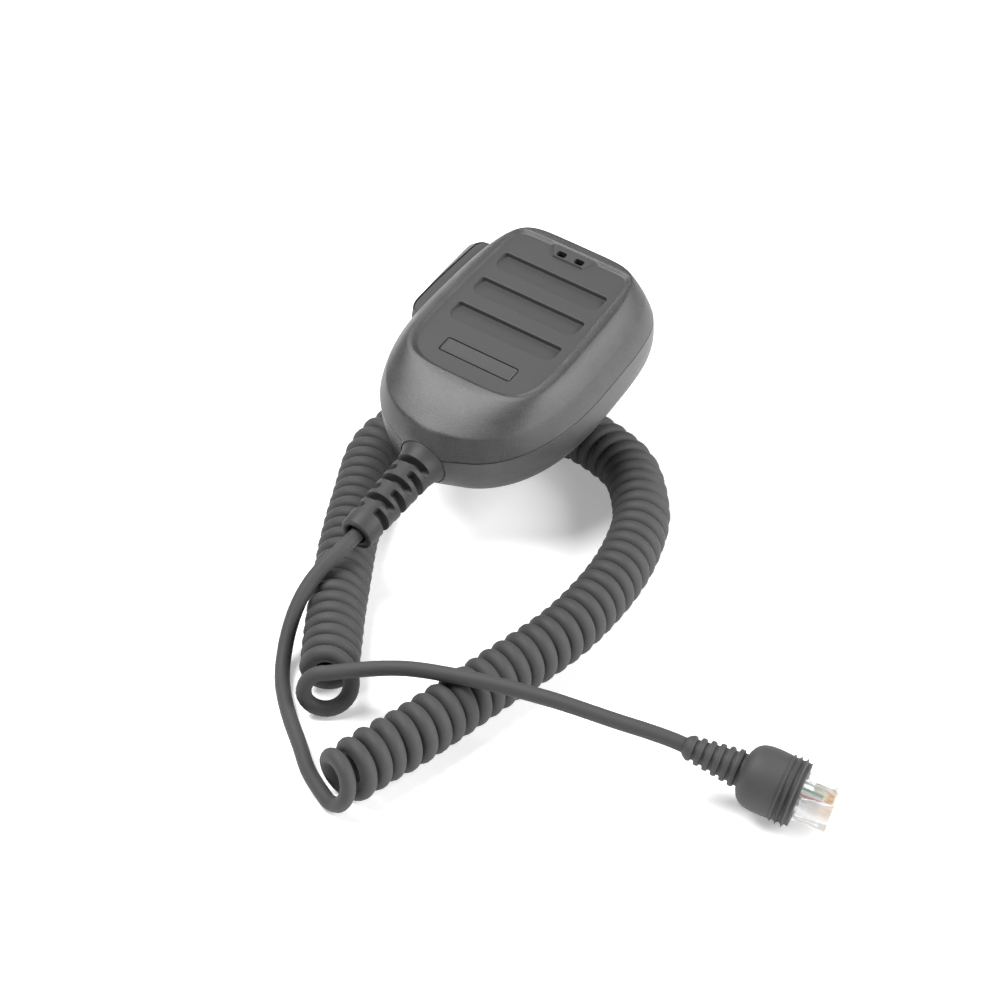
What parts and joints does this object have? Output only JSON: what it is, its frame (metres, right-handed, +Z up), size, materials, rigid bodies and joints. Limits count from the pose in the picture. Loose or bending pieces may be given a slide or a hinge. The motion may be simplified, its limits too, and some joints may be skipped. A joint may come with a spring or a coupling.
{
  "type": "hand microphone",
  "caption": "Hand microphone for a mobile radio: rounded two-part shell with a grooved front panel, a press-to-talk lever on its side, a curly cord and a modular plug.",
  "frame": {"origin": "centre of the box round the microphone itself, with its lever, hang-up stud and strain relief, without the cord and plug", "axes": "+Z up from the surface that the microphone and its cord lie on; +Y towards the microphone's top end; +X to the right of someone facing its front with the top end away from them"},
  "size_m": [0.2024, 0.1945, 0.0616],
  "materials": {
    "shell": "fine-grained moulded plastic, satin",
    "key": "fine-grained moulded plastic, satin",
    "name_plate": "smooth, blank",
    "soft_rubber": "matt",
    "relief_rubber": "satin moulded rubber",
    "boot_rubber": "satin moulded rubber",
    "cord_jacket": "matt extruded jacket",
    "steel": "zinc-plated",
    "switch_plastic": "moulded",
    "plunger_plastic": "moulded",
    "board": "solder-masked board",
    "chip": "moulded package",
    "capsule_metal": "drawn can",
    "screen_cloth": "fine woven screen",
    "stud_plastic": "moulded",
    "connector_plastic": "moulded",
    "contact_gold": "gold-plated",
    "wire_brown": "smooth insulation",
    "wire_black": "smooth insulation",
    "wire_red": "smooth insulation",
    "wire_grey": "smooth insulation",
    "wire_white": "smooth insulation",
    "wire_green": "smooth insulation",
    "clear_plastic": "clear moulded plastic"
  },
  "bodies": {
    "microphone": {"board_chip": "chip", "board_connector": "connector_plastic", "board_screw_1": "steel", "board_screw_2": "steel", "capsule_boot": "soft_rubber", "case_screw_1": "steel", "case_screw_2": "steel", "case_screw_3": "steel", "case_screw_4": "steel", "circuit_board": "board", "clamp_screw_1": "steel", "clamp_screw_2": "steel", "cord_clamp": "steel", "cord_coil": "cord_jacket", "cord_lead_microphone": "cord_jacket", "cord_lead_plug": "cord_jacket", "dust_screen": "screen_cloth", "front_shell": "shell", "hang_up_stud": "stud_plastic", "housing_gasket_1": "soft_rubber", "housing_gasket_2": "soft_rubber", "inner_cord": "cord_jacket", "inner_wire_black": "wire_black", "inner_wire_brown": "wire_brown", "inner_wire_green": "wire_green", "inner_wire_grey": "wire_grey", "inner_wire_red": "wire_red", "inner_wire_white": "wire_white", "mic_capsule": "capsule_metal", "modular_plug": "clear_plastic", "name_plate": "name_plate", "plug_boot": "boot_rubber", "plug_contact_1": "contact_gold", "plug_contact_2": "contact_gold", "plug_contact_3": "contact_gold", "plug_contact_4": "contact_gold", "plug_contact_5": "contact_gold", "plug_contact_6": "contact_gold", "plug_contact_7": "contact_gold", "plug_contact_8": "contact_gold", "plug_wire_black": "wire_black", "plug_wire_brown": "wire_brown", "plug_wire_green": "wire_green", "plug_wire_grey": "wire_grey", "plug_wire_red": "wire_red", "plug_wire_white": "wire_white", "ptt_pivot_pin": "steel", "rear_shell": "shell", "strain_relief": "relief_rubber", "stud_nut": "steel", "stud_screw": "steel", "switch_body": "switch_plastic"},
    "lever": {"ptt_lever": "key"},
    "plunger": {"switch_plunger": "plunger_plastic"},
    "latch": {"plug_latch": "clear_plastic"}
  },
  "joints": [
    {"name": "talk_lever_hinge", "type": "hinge", "parent": "microphone", "child": "lever", "pos_m": [-0.02644, 0.01699, 0.00297], "axis": [-0.0523, 0.1803, -0.9822], "range_deg": [0, 3.5], "stiffness_Nm_per_rad": 0.5, "springref_deg": -2.86},
    {"name": "switch_travel", "type": "slide", "parent": "microphone", "child": "plunger", "axis": [0.9986, 0.0094, -0.0515], "range_m": [0, 0.0013]},
    {"name": "plug_latch_hinge", "type": "hinge", "parent": "microphone", "child": "latch", "pos_m": [0.16435, -0.06419, -0.03068], "axis": [-0.1279, -0.308, -0.9427], "range_deg": [0, 12], "stiffness_Nm_per_rad": 0.2, "springref_deg": -2.86}
  ],
  "couplings": [
    {"joint": "switch_travel", "follows": "talk_lever_hinge", "m_per_rad": 0.019}
  ]
}
